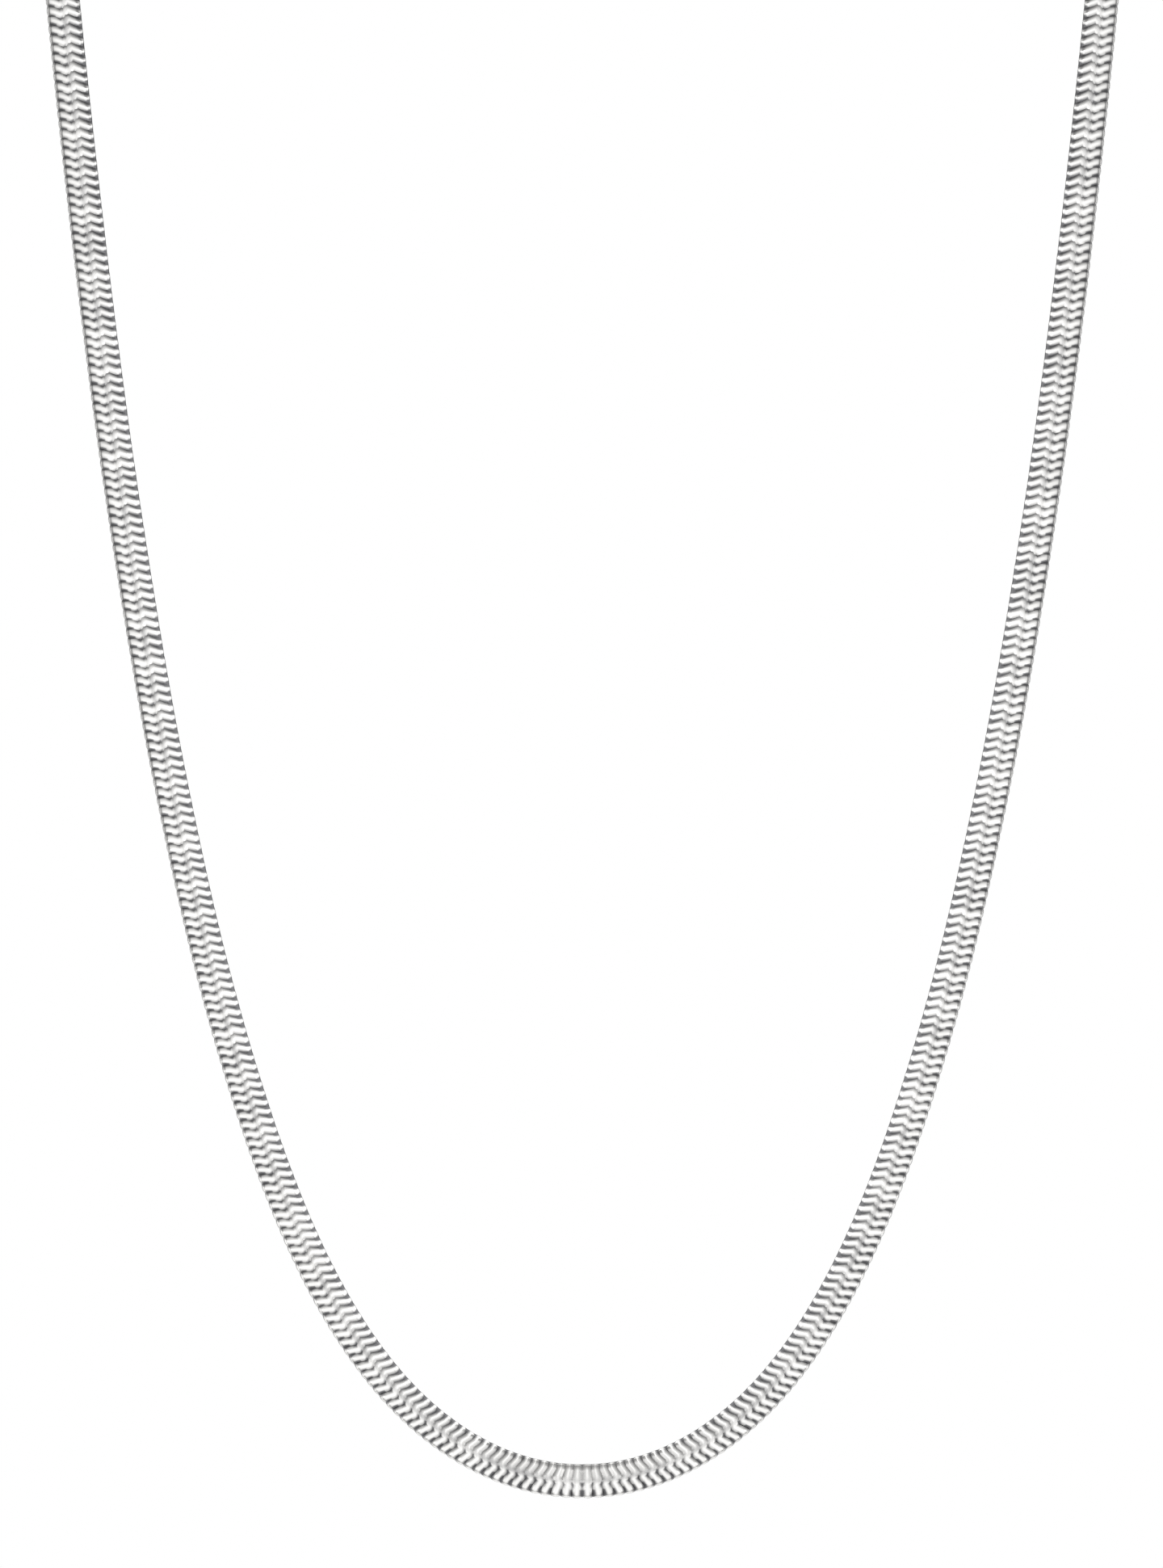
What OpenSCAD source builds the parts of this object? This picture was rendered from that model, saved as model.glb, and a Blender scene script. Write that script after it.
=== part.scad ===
// Flat snake chain necklace: a whole loop that hangs as it is worn.
// Units are millimetres. +Z is up, the front faces -Y, and left and right are as seen from the front.
// The origin is where the loop rests on the nape, in the middle of the clasp.

/* [Chain] */
// Width of the chain across its face
chain_w = 4; // [3:0.1:6]
// Thickness of the chain, front to back
chain_t = 1.3; // [1:0.1:2]
// Squareness of the flat oval section, where 2 is an ellipse
section_power = 3; // [2:0.1:4]
// Gap between the two strands where they meet at the bottom of the front
strand_gap = 0.1; // [0.05:0.05:0.5]
// Angle between straight up and the way that the chain's outer face looks at the nape
nape_lean = 55; // [45:5:65]

/* [End caps] */
// Length of the sleeve that holds a chain end
cap_l = 5; // [4:0.5:6]
// Wall of the sleeve round the chain
cap_wall = 0.4; // [0.3:0.1:0.6]
// Thickness of the sleeve's closed end
cap_end = 1; // [0.8:0.1:1.5]
// Thickness of the eye on the closed end
eye_t = 1; // [0.8:0.1:1]
// Rim of metal round the hole of the eye
eye_rim = 0.65; // [0.5:0.05:0.7]

/* [Jump rings] */
// Outer diameter of a jump ring
ring_d = 4.4; // [4.2:0.1:5]
// Diameter of its wire
ring_wire = 0.7; // [0.6:0.05:0.8]

/* [Clasp] */
// Thickness of the clasp's plate
clasp_t = 1.4; // [1.2:0.1:1.4]
// Distance between the outer edges of the clasp's two holes
clasp_grip = 9.3; // [9:0.1:12]
// Diameter of the hole in the clasp's narrow end
clasp_eye_d = 1.3; // [1.2:0.1:1.5]
// Rim of metal round that hole
clasp_eye_rim = 0.75; // [0.6:0.05:0.8]
// Diameter of the opening in the clasp's wide end
claw_d = 2.6; // [2.2:0.1:3]
// Rim of metal round that opening
claw_rim = 1.2; // [0.9:0.1:1.2]

/* [Fit] */
// Clearance between pieces that hold each other
fit = 0.1; // [0.08:0.01:0.12]
// Diameter of the holes that a jump ring passes through in the end caps
eye_hole = 1.3; // [1.2:0.1:1.5]

/* [Hidden] */
$fn = 64;
silver = [0.78, 0.79, 0.81];
bright_silver = [0.86, 0.87, 0.88];

// Half of the loop, from the bottom of the front to the middle of the nape.
// Each row pulls a smooth curve towards it, and gives the way that the outer face looks there.
ACROSS = 0;
BACK = 1;
UP = 2;
FACE_X = 3;
FACE_Y = 4;
FACE_Z = 5;
nape_back = 55;
nape_up = 191;
nape_y = sin(nape_lean);
nape_z = cos(nape_lean);
half_loop = [
    // across, back,   up, face_x, face_y, face_z
    [ 0.0,  0.0,  -0.7, 0.00, -1.0, 0.0],
    [10.0,  0.0,   1.3, 0.00, -1.0, 0.0],
    [19.2,  0.0,   7.3, 0.00, -1.0, 0.0],
    [26.3,  0.0,  15.8, 0.00, -1.0, 0.0],
    [31.9,  0.0,  25.8, 0.00, -1.0, 0.0],
    [36.4,  0.0,  36.8, 0.00, -1.0, 0.0],
    [40.3,  0.0,  48.8, 0.00, -1.0, 0.0],
    [43.8,  0.0,  61.5, 0.00, -1.0, 0.0],
    [46.8,  0.0,  75.0, 0.00, -1.0, 0.0],
    [49.6,  0.0,  89.0, 0.00, -1.0, 0.0],
    [52.1,  0.0, 104.0, 0.00, -1.0, 0.0],
    [54.4,  0.0, 119.0, 0.00, -1.0, 0.0],
    [56.5,  0.0, 135.0, 0.00, -1.0, 0.0],
    [58.4,  0.0, 151.0, 0.00, -1.0, 0.0],
    [60.0,  0.0, 166.0, 0.00, -1.0, 0.0],
    [61.2,  0.0, 178.0, 0.00, -1.0, 0.1],
    [62.0,  5.0, 188.0, 0.10, -0.7, 0.7],
    [61.0, 15.0, 193.0, 0.30,  0.1, 1.0],
    [57.0, 26.0, 194.0, 0.40,  0.3, 0.9],
    [50.5, 36.5, 193.5, 0.40,  0.5, 0.8],
    [41.5, 45.5, 192.5, 0.30,  0.6, 0.7],
    [31.0, 52.0, 191.5, 0.15, nape_y, nape_z],
    [21.0, nape_back, nape_up, 0.00, nape_y, nape_z],
    [14.0, nape_back, nape_up, 0.00, nape_y, nape_z],
    [ 7.0, nape_back, nape_up, 0.00, nape_y, nape_z],
    [ 0.0, nape_back, nape_up, 0.00, nape_y, nape_z]
];

// The other half mirrors this one, so the curve runs level through both of its ends
function other_half(row) =
    [-row[ACROSS], row[BACK], row[UP], -row[FACE_X], row[FACE_Y], row[FACE_Z]];
spans = len(half_loop) - 1;
pulls = concat([other_half(half_loop[1])], half_loop, [other_half(half_loop[spans - 1])]);

// Shares of four neighbouring rows at t, from 0 to 1 along one span of the curve, and their slopes
function shares(t) =
    [pow(1 - t, 3), 3 * pow(t, 3) - 6 * t * t + 4, -3 * pow(t, 3) + 3 * t * t + 3 * t + 1, pow(t, 3)] / 6;
function share_slopes(t) =
    [-pow(1 - t, 2), 3 * t * t - 4 * t, -3 * t * t + 2 * t + 1, t * t] / 2;
function four_rows(i) = [pulls[i], pulls[i + 1], pulls[i + 2], pulls[i + 3]];
function span_of(u) = max(0, min(floor(u), spans - 1));
function row_at(u) = let (i = span_of(u)) shares(u - i) * four_rows(i);
function slope_at(u) = let (i = span_of(u)) share_slopes(u - i) * four_rows(i);

function place(row) = [row[ACROSS], row[BACK], row[UP]];
function look(row) = [row[FACE_X], row[FACE_Y], row[FACE_Z]];
function unit(v) = v / norm(v);

// Length along the curve against its parameter, so that sections lie at even distances
steps_per_span = 12;
steps = spans * steps_per_span;
function step_place(k) = place(row_at(k / steps_per_span));
length_table = [
    for (k = 0, run = 0; k <= steps; k = k + 1, run = run + norm(step_place(k) - step_place(k - 1)))
        [run, k / steps_per_span]
];
half_length = length_table[steps][0];

// Where the pieces of the closure lie, measured from the middle of the nape along the chain
ring_in_r = ring_d / 2 - ring_wire;
ring_mid_r = (ring_d - ring_wire) / 2;
// Gap that a jump ring leaves over the edge of a flat plate whose corners it just clears
function seat(plate_t) = ring_in_r - sqrt(pow(ring_in_r - fit, 2) - pow(plate_t / 2, 2));
ring_at = clasp_grip / 2 - seat(clasp_t) + ring_in_r;
eye_at = ring_at + ring_in_r - seat(eye_t) + eye_hole / 2;
eye_r = eye_hole / 2 + eye_rim;
eye_sunk = 0.3;
cap_at = eye_at + eye_r - eye_sunk;
socket_at = cap_at + cap_end;
strand_end = socket_at + fit;

// Strand sections: a flat oval of straight facets, at even steps along the curve
section_sides = 12;
strand_start = strand_gap / 2;
strand_length = half_length - strand_start - strand_end;
section_step = 2.8;
sections = round(strand_length / section_step);
function flat_power(x) = sign(x) * pow(abs(x), 2 / section_power);
section = [
    for (k = [0 : section_sides - 1])
        let (a = 360 * k / section_sides)
            [chain_w / 2 * flat_power(cos(a)), chain_t / 2 * flat_power(sin(a))]
];
function section_at(run) =
    let (
        u = lookup(run, length_table),
        row = row_at(u),
        along = unit(place(slope_at(u))),
        raw = look(row),
        face = unit(raw - (raw * along) * along),
        side = cross(along, face)
    )
    [for (p = section) place(row) + p[0] * side + p[1] * face];

// One strand of the right half, closed by a flat face at each end
module strand() {
    points = [
        for (k = [0 : sections])
            each section_at(strand_start + strand_length * k / sections)
    ];
    last = sections * section_sides;
    start_face = [for (j = [1 : section_sides - 2]) [0, j + 1, j]];
    end_face = [for (j = [1 : section_sides - 2]) [last, last + j, last + j + 1]];
    walls = [
        for (k = [0 : sections - 1], j = [0 : section_sides - 1])
            let (
                a = k * section_sides + j,
                b = k * section_sides + (j + 1) % section_sides
            )
            each [[a, b, b + section_sides], [a, b + section_sides, a + section_sides]]
    ];
    polyhedron(points = points, faces = concat(start_face, walls, end_face));
}

// Flat round-ended outline, as wide and high as given
module round_slot(w, h) {
    square([w - h, h], center = true);
    for (side = [-1, 1])
        translate([side * (w - h) / 2, 0])
            circle(d = h);
}

// Moves a piece from the bottom of the front to where the loop rests on the nape
module from_front() {
    translate([0, -nape_back, -nape_up])
        children();
}

// Turns a flat closure piece, drawn along X with its plate in the XY plane, to lie on the nape
module on_nape() {
    rotate([-nape_lean, 0, 0])
        children();
}

// Sleeve round a chain end, with an eye that the jump ring passes through
module end_cap() {
    difference() {
        union() {
            translate([cap_at, 0, 0])
                rotate([90, 0, 90])
                    linear_extrude(cap_l)
                        round_slot(chain_w + 2 * (fit + cap_wall), chain_t + 2 * (fit + cap_wall));
            translate([eye_at, 0, -eye_t / 2])
                cylinder(r = eye_r, h = eye_t);
        }
        translate([socket_at, 0, 0])
            rotate([90, 0, 90])
                linear_extrude(cap_l)
                    round_slot(chain_w + 2 * fit, chain_t + 2 * fit);
        translate([eye_at, 0, -eye_t])
            cylinder(d = eye_hole, h = 2 * eye_t);
    }
}

// Round wire ring, standing across the plates that it joins
module jump_ring() {
    translate([ring_at, 0, 0])
        rotate([90, 0, 0])
            rotate_extrude()
                translate([ring_mid_r, 0])
                    circle(d = ring_wire);
}

// Outline of the clasp's plate: a small round end and a large one, joined by their tangents
module clasp_outline() {
    small_r = clasp_eye_d / 2 + clasp_eye_rim;
    large_r = claw_d / 2 + claw_rim;
    small_x = -(clasp_grip - clasp_eye_d) / 2;
    large_x = (clasp_grip - claw_d) / 2;
    slope = asin((large_r - small_r) / (large_x - small_x));
    function tangent_point(x, r, side) = [x - r * sin(slope), side * r * cos(slope)];
    translate([small_x, 0])
        circle(r = small_r);
    translate([large_x, 0])
        circle(r = large_r);
    polygon([
        tangent_point(small_x, small_r, -1),
        tangent_point(large_x, large_r, -1),
        tangent_point(large_x, large_r, 1),
        tangent_point(small_x, small_r, 1)
    ]);
}

module chain_left() {
    color(silver)
        from_front()
            mirror([1, 0, 0])
                strand();
}

module chain_right() {
    color(silver)
        from_front()
            strand();
}

module end_cap_left() {
    color(bright_silver)
        on_nape()
            mirror([1, 0, 0])
                end_cap();
}

module end_cap_right() {
    color(bright_silver)
        on_nape()
            end_cap();
}

module jump_ring_left() {
    color(silver)
        on_nape()
            mirror([1, 0, 0])
                jump_ring();
}

module jump_ring_right() {
    color(silver)
        on_nape()
            jump_ring();
}

module clasp() {
    color(bright_silver)
        on_nape()
            difference() {
                translate([0, 0, -clasp_t / 2])
                    linear_extrude(clasp_t)
                        clasp_outline();
                translate([-(clasp_grip - clasp_eye_d) / 2, 0, -clasp_t])
                    cylinder(d = clasp_eye_d, h = 2 * clasp_t);
                translate([(clasp_grip - claw_d) / 2, 0, -clasp_t])
                    cylinder(d = claw_d, h = 2 * clasp_t);
            }
}

chain_left();
chain_right();
end_cap_left();
end_cap_right();
jump_ring_left();
jump_ring_right();
clasp();
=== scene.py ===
"""Dresses a flat snake chain necklace: polished silver links on a whole loop, hung as it is worn.

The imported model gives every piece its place. Each strand of the chain is made of wavy plates, threaded
along the strand's route by Geometry Nodes, and the closure at the nape is modelled round the same sizes.
Lengths in the tables and dataclasses are millimetres, and MM turns them to the scene's metres.
"""

from __future__ import annotations

import logging
import math
from bisect import bisect_right
from collections.abc import Callable
from dataclasses import dataclass, field
from enum import Enum
from typing import NamedTuple

import bmesh
import bpy
from mathutils import Matrix, Vector

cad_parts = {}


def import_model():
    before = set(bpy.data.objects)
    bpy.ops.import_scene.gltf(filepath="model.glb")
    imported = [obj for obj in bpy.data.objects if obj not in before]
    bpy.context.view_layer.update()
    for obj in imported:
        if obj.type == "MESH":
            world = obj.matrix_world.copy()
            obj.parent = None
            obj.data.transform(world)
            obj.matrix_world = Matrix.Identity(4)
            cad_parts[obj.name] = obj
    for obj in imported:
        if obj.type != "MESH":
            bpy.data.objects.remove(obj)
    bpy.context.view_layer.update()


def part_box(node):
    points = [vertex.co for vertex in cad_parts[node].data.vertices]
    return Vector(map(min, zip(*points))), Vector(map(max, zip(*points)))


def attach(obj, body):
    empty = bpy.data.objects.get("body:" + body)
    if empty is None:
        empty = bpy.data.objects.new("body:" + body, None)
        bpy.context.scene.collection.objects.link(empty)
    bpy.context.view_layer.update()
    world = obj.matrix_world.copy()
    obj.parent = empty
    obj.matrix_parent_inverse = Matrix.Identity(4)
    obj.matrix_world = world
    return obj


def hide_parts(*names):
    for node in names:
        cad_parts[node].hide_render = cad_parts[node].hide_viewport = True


MM = 0.001
BODY = "root"
LOG = logging.getLogger("necklace")


class Side(Enum):
    """The two halves of the loop, as seen from the front."""

    LEFT = "left"
    RIGHT = "right"


class Pull(NamedTuple):
    """One row of the route: a place that pulls the curve, and the way that the outer face looks there."""

    across: float
    back: float
    up: float
    face_x: float
    face_y: float
    face_z: float


class Rim(NamedTuple):
    """One point of an outline, in millimetres, and the way out of the metal there."""

    place: Vector
    out: Vector


class Station(NamedTuple):
    """One place round half a link's oval, from the strand's outer edge to its inner one.

    across is the share of half the width, lag is how far the slit falls down the strand, in pitches, slit
    is the slit's width there, in pitches, sink is its depth as a share of the full one, slit_shade is how
    dark the painted shade lies in it, and face_shade how much of that painted shade lies on the face
    beside it, greying its highlight.
    """

    across: float
    lag: float
    slit: float
    sink: float
    slit_shade: float
    face_shade: float


class Stop(NamedTuple):
    """One stop of a soft ramp of grey levels: its place, from 0 to 1, and its level."""

    place: float
    level: float


class Card(NamedTuple):
    """A lit card that stands square to X, measured in millimetres from the bottom of the chain's front.

    facing is 1 or -1, the side on X that it lights, across is where it stands on X, front and back are its
    edges on Y, foot and top its edges on Z, and level is its brightness.
    """

    facing: int
    across: float
    front: float
    back: float
    foot: float
    top: float
    level: float


def hex_colour(code: str) -> tuple[float, float, float, float]:
    """Turns an sRGB hex code to a linear colour.

    Args:
        code: Six hex digits with a leading hash.

    Returns:
        Linear red, green and blue, and an alpha of 1.
    """
    channels = [int(code[i : i + 2], 16) / 255 for i in (1, 3, 5)]
    linear = [c / 12.92 if c <= 0.04045 else ((c + 0.055) / 1.055) ** 2.4 for c in channels]
    return linear[0], linear[1], linear[2], 1.0


def add_node(
    tree: bpy.types.NodeTree,
    kind: str,
    inputs: dict[str | int, object] | None = None,
    **settings: object,
) -> bpy.types.Node:
    """Adds a node with its settings, values and links.

    Args:
        tree: The node tree that takes the node.
        kind: The node's type name.
        inputs: For an input's name or number, a node whose first output in use is linked to it, an
            output socket, or a plain value. A name means the socket in use that has it.
        **settings: The node's own properties.

    Returns:
        The new node.
    """
    node = tree.nodes.new(kind)
    for name, value in settings.items():
        setattr(node, name, value)
    for key, value in (inputs or {}).items():
        if isinstance(key, str):
            taken = next(s for s in node.inputs if s.name == key and s.enabled)
        else:
            taken = node.inputs[key]
        if isinstance(value, bpy.types.Node):
            value = next(s for s in value.outputs if s.enabled)
        if isinstance(value, bpy.types.NodeSocket):
            tree.links.new(value, taken)
        else:
            taken.default_value = value
    return node


def mesh_object(name: str, shape: bmesh.types.BMesh, smooth: bool = True) -> bpy.types.Object:
    """Makes an object of a bmesh, at the origin, and frees the bmesh.

    Args:
        name: The object's name.
        shape: The finished shape, in metres.
        smooth: Whether the faces are shaded smooth.

    Returns:
        The new object, linked to the scene.
    """
    for face in shape.faces:
        face.smooth = smooth
    mesh = bpy.data.meshes.new(name)
    shape.to_mesh(mesh)
    shape.free()
    piece = bpy.data.objects.new(name, mesh)
    bpy.context.scene.collection.objects.link(piece)
    return piece


def plain_mesh(piece: bpy.types.Object) -> None:
    """Turns an object's evaluated shape to a plain mesh and drops its modifiers.

    Args:
        piece: The object, changed in place.
    """
    graph = bpy.context.evaluated_depsgraph_get()
    baked = bpy.data.meshes.new_from_object(
        piece.evaluated_get(graph), preserve_all_data_layers=True, depsgraph=graph
    )
    piece.modifiers.clear()
    piece.data = baked
    baked.name = piece.name


def mirror_across(piece: bpy.types.Object) -> None:
    """Mirrors a piece from the right side of the loop to the left, with its faces still outwards.

    Args:
        piece: The object, changed in place.
    """
    piece.data.transform(Matrix.Scale(-1, 4, Vector((1, 0, 0))))
    piece.data.flip_normals()


def bridge(
    shape: bmesh.types.BMesh, ring: list[bmesh.types.BMVert], after: list[bmesh.types.BMVert]
) -> None:
    """Joins two closed rings of as many points with a belt of faces.

    Args:
        shape: The shape that holds both rings.
        ring: The first ring.
        after: The next one, point for point.
    """
    for k in range(len(ring)):
        following = (k + 1) % len(ring)
        shape.faces.new((ring[k], ring[following], after[following], after[k]))


def tapered_outline(near: tuple[float, float], far: tuple[float, float], steps: int) -> list[Rim]:
    """Draws two circles on the X axis and the straight lines that just touch both.

    Args:
        near: Middle and radius of the circle at the lower X.
        far: Middle and radius of the other one.
        steps: Points on each circle's share of the outline, less one.

    Returns:
        The outline's points, anticlockwise.
    """
    (near_x, near_r), (far_x, far_r) = near, far
    quarter = math.pi / 2
    slope = math.asin((far_r - near_r) / (far_x - near_x))
    outline = []
    for middle, radius, centre, reach in (
        (far_x, far_r, 0.0, quarter + slope),
        (near_x, near_r, math.pi, quarter - slope),
    ):
        for k in range(steps + 1):
            angle = centre + reach * (2 * k / steps - 1)
            out = Vector((math.cos(angle), math.sin(angle)))
            outline.append(Rim(Vector((middle, 0.0)) + radius * out, out))
    return outline


def circle_outline(middle: float, radius: float, steps: int, hole: bool) -> list[Rim]:
    """Draws a circle on the X axis.

    Args:
        middle: Where its middle is on X.
        radius: Its radius.
        steps: Points on it.
        hole: Whether the metal lies outside it, so that the way out of the metal is inwards.

    Returns:
        The circle's points, anticlockwise.
    """
    reach = -radius if hole else radius
    outline = []
    for k in range(steps):
        angle = 2 * math.pi * k / steps
        out = -Vector((math.cos(angle), math.sin(angle)))
        outline.append(Rim(Vector((middle, 0.0)) + reach * out, out))
    return outline


@dataclass(frozen=True)
class Route:
    """The smooth line that half of the loop follows, from the bottom of the front to the nape.

    Args:
        nape_back: How far the nape lies behind the front.
        nape_up: How far it lies above the bottom of the front.
        nape_lean: Angle between straight up and the way that the chain's face looks at the nape.
        steps_per_span: Straight steps between two rows, where lengths are measured.
    """

    nape_back: float = 55.0
    nape_up: float = 191.0
    nape_lean: float = 55.0
    steps_per_span: int = 12

    def rows(self) -> list[Pull]:
        """Lists the rows of the right half, the same as in the part's source.

        Returns:
            The rows, from the bottom of the front to the middle of the nape.
        """
        face_y = math.sin(math.radians(self.nape_lean))
        face_z = math.cos(math.radians(self.nape_lean))
        front = [
            Pull(across, 0.0, up, 0.0, -1.0, 0.0)
            for across, up in (
                (0.0, -0.7),
                (10.0, 1.3),
                (19.2, 7.3),
                (26.3, 15.8),
                (31.9, 25.8),
                (36.4, 36.8),
                (40.3, 48.8),
                (43.8, 61.5),
                (46.8, 75.0),
                (49.6, 89.0),
                (52.1, 104.0),
                (54.4, 119.0),
                (56.5, 135.0),
                (58.4, 151.0),
                (60.0, 166.0),
            )
        ]
        shoulder = [
            Pull(61.2, 0.0, 178.0, 0.0, -1.0, 0.1),
            Pull(62.0, 5.0, 188.0, 0.1, -0.7, 0.7),
            Pull(61.0, 15.0, 193.0, 0.3, 0.1, 1.0),
            Pull(57.0, 26.0, 194.0, 0.4, 0.3, 0.9),
            Pull(50.5, 36.5, 193.5, 0.4, 0.5, 0.8),
            Pull(41.5, 45.5, 192.5, 0.3, 0.6, 0.7),
            Pull(31.0, 52.0, 191.5, 0.15, face_y, face_z),
        ]
        nape = [
            Pull(across, self.nape_back, self.nape_up, 0.0, face_y, face_z)
            for across in (21.0, 14.0, 7.0, 0.0)
        ]
        return front + shoulder + nape

    def curve(self) -> RouteCurve:
        """Returns the curve that the rows pull, measured and ready to sample."""
        return RouteCurve(self)


class RouteCurve:
    """A smooth curve that four neighbouring rows pull at each place, with the face's direction along it."""

    def __init__(self, route: Route) -> None:
        """Measures the curve's length from its parameter.

        Args:
            route: The table and the sizes that it depends on.
        """
        rows = route.rows()
        self.spans = len(rows) - 1
        self.pulls = [self._other_half(rows[1]), *rows, self._other_half(rows[-2])]
        self.origin = Vector((0.0, route.nape_back, route.nape_up))
        self.per_span = route.steps_per_span
        steps = self.spans * self.per_span
        places = [self._blend(k / self.per_span, self._shares)[0] for k in range(steps + 1)]
        self.runs = [0.0]
        for before, after in zip(places, places[1:]):
            self.runs.append(self.runs[-1] + (after - before).length)

    @property
    def length(self) -> float:
        """Returns the length of half of the loop, in millimetres."""
        return self.runs[-1]

    @staticmethod
    def _other_half(row: Pull) -> Pull:
        """Returns the row's mirror image across the middle of the loop."""
        return row._replace(across=-row.across, face_x=-row.face_x)

    @staticmethod
    def _shares(t: float) -> list[float]:
        """Weighs four neighbouring rows.

        Args:
            t: The place along the span between the middle two, from 0 to 1.

        Returns:
            Each row's share, which add up to 1.
        """
        return [
            (1 - t) ** 3 / 6,
            (3 * t**3 - 6 * t**2 + 4) / 6,
            (-3 * t**3 + 3 * t**2 + 3 * t + 1) / 6,
            t**3 / 6,
        ]

    @staticmethod
    def _share_slopes(t: float) -> list[float]:
        """Finds how fast those shares change.

        Args:
            t: The place along the span, from 0 to 1.

        Returns:
            The slope of each row's share, which add up to 0.
        """
        return [
            -((1 - t) ** 2) / 2,
            (3 * t**2 - 4 * t) / 2,
            (-3 * t**2 + 2 * t + 1) / 2,
            t**2 / 2,
        ]

    def _blend(self, u: float, shares: Callable[[float], list[float]]) -> tuple[Vector, Vector]:
        """Blends the four rows round a place.

        Args:
            u: The place on the curve, counted in spans.
            shares: Gives the rows' shares, or the shares' slopes, along a span.

        Returns:
            The place or its slope, in millimetres, and the face's direction or its slope.
        """
        span = max(0, min(int(u), self.spans - 1))
        weights = shares(u - span)
        rows = self.pulls[span : span + 4]
        place = sum((w * Vector(row[:3]) for w, row in zip(weights, rows)), Vector((0, 0, 0)))
        face = sum((w * Vector(row[3:]) for w, row in zip(weights, rows)), Vector((0, 0, 0)))
        return place, face

    def at(self, run: float) -> tuple[Vector, Vector, Vector]:
        """Samples the curve.

        Args:
            run: The length from the bottom of the front, in millimetres.

        Returns:
            The place in the part's frame, in millimetres, the direction along the strand, and the
            direction that the outer face looks in, square to it.
        """
        k = max(0, min(bisect_right(self.runs, run) - 1, len(self.runs) - 2))
        share = (run - self.runs[k]) / (self.runs[k + 1] - self.runs[k])
        u = (k + share) / self.per_span
        place, face = self._blend(u, self._shares)
        along = self._blend(u, self._share_slopes)[0].normalized()
        face = (face - face.dot(along) * along).normalized()
        return place - self.origin, along, face


@dataclass(frozen=True)
class Silver:
    """Polished sterling silver, rolled and tumbled: near-white, with a soft clear reflection.

    Slits and corners are painted a dark grey by the recess attribute. It is painted shade that stands in
    for the shade deep in them, and partly the oxide and polish residue that no buff reaches. That painted
    shade is what draws the chain's scales.

    Args:
        name: The material's name.
        bright: Colour where the buff reaches.
        shade_grey: Colour of the painted shade deep in a slit.
        gloss: Roughness where the buff reaches.
        gloss_least: Roughness of the glossiest patches, as a share of that.
        gloss_most: Roughness of the least glossy ones, as a share of that.
        matt: Roughness deep in a slit.
        full_recess: The recess from which colour and roughness are those deep in a slit.
        hairline: Spacing of the fine polishing lines. Real ones are finer and wouldn't show, so they are
            drawn this coarse.
        hairline_height: Height of those lines.
        hairline_strength: Strength of those lines as bump.
        hairline_stretch: How many times longer than wide the lines are, along X.
        patch: Width of the patches that differ in gloss.
        uneven: Share by which the painted shade is lighter or darker from one link to the next.
    """

    name: str
    bright: str = "#FAF9F7"
    shade_grey: str = "#78787A"
    gloss: float = 0.24
    gloss_least: float = 0.7
    gloss_most: float = 1.9
    matt: float = 0.42
    full_recess: float = 0.75
    hairline: float = 0.12
    hairline_height: float = 0.02
    hairline_strength: float = 0.08
    hairline_stretch: float = 1.0
    patch: float = 6.0
    uneven: float = 0.25

    def build(self) -> bpy.types.Material:
        """Makes the material, which reads the recess and tone attributes and object coordinates.

        Returns:
            The material.
        """
        material = bpy.data.materials.new(self.name)
        material.use_nodes = True
        tree = material.node_tree
        tree.nodes.clear()
        recess = add_node(tree, "ShaderNodeAttribute", attribute_name="recess")
        tone = add_node(tree, "ShaderNodeAttribute", attribute_name="tone")
        place = add_node(tree, "ShaderNodeTexCoord")

        # The painted shade of the slits and of the faces beside them, from none to as deep as in a slit.
        share = add_node(
            tree,
            "ShaderNodeMapRange",
            {"Value": tone.outputs["Fac"], "To Min": 1 - self.uneven, "To Max": 1 + self.uneven},
        )
        painted_shade = add_node(
            tree, "ShaderNodeMath", {0: recess.outputs["Fac"], 1: share}, operation="MULTIPLY"
        )
        depth = add_node(
            tree,
            "ShaderNodeMapRange",
            {"Value": painted_shade, "From Min": 0.0, "From Max": self.full_recess},
            interpolation_type="SMOOTHSTEP",
        )
        colour = add_node(
            tree,
            "ShaderNodeMix",
            {"Factor": depth, "A": hex_colour(self.bright), "B": hex_colour(self.shade_grey)},
            data_type="RGBA",
        )

        # The gloss, in soft patches, and from link to link.
        cloud = add_node(
            tree,
            "ShaderNodeTexNoise",
            {"Vector": place.outputs["Object"], "Scale": 1 / (self.patch * MM), "Detail": 2.0},
        )
        worn = add_node(
            tree, "ShaderNodeMath", {0: cloud, 1: tone.outputs["Fac"]}, operation="MULTIPLY"
        )
        roughness = add_node(
            tree,
            "ShaderNodeMapRange",
            {
                "Value": worn,
                "To Min": self.gloss * self.gloss_least,
                "To Max": self.gloss * self.gloss_most,
            },
        )
        full_roughness = add_node(
            tree, "ShaderNodeMix", {"Factor": depth, "A": roughness, "B": self.matt}, data_type="FLOAT"
        )

        # The buff's fine lines.
        drawn = add_node(
            tree,
            "ShaderNodeMapping",
            {"Vector": place.outputs["Object"], "Scale": (1 / self.hairline_stretch, 1.0, 1.0)},
        )
        hairs = add_node(
            tree, "ShaderNodeTexNoise", {"Vector": drawn, "Scale": 1 / (self.hairline * MM), "Detail": 1.0}
        )
        bump = add_node(
            tree,
            "ShaderNodeBump",
            {"Height": hairs, "Strength": self.hairline_strength, "Distance": self.hairline_height * MM},
        )

        shader = add_node(
            tree,
            "ShaderNodeBsdfPrincipled",
            {
                "Base Color": colour,
                "Roughness": full_roughness,
                "Normal": bump.outputs["Normal"],
                "Metallic": 1.0,
            },
        )
        add_node(tree, "ShaderNodeOutputMaterial", {"Surface": shader.outputs["BSDF"]})
        return material


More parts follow.
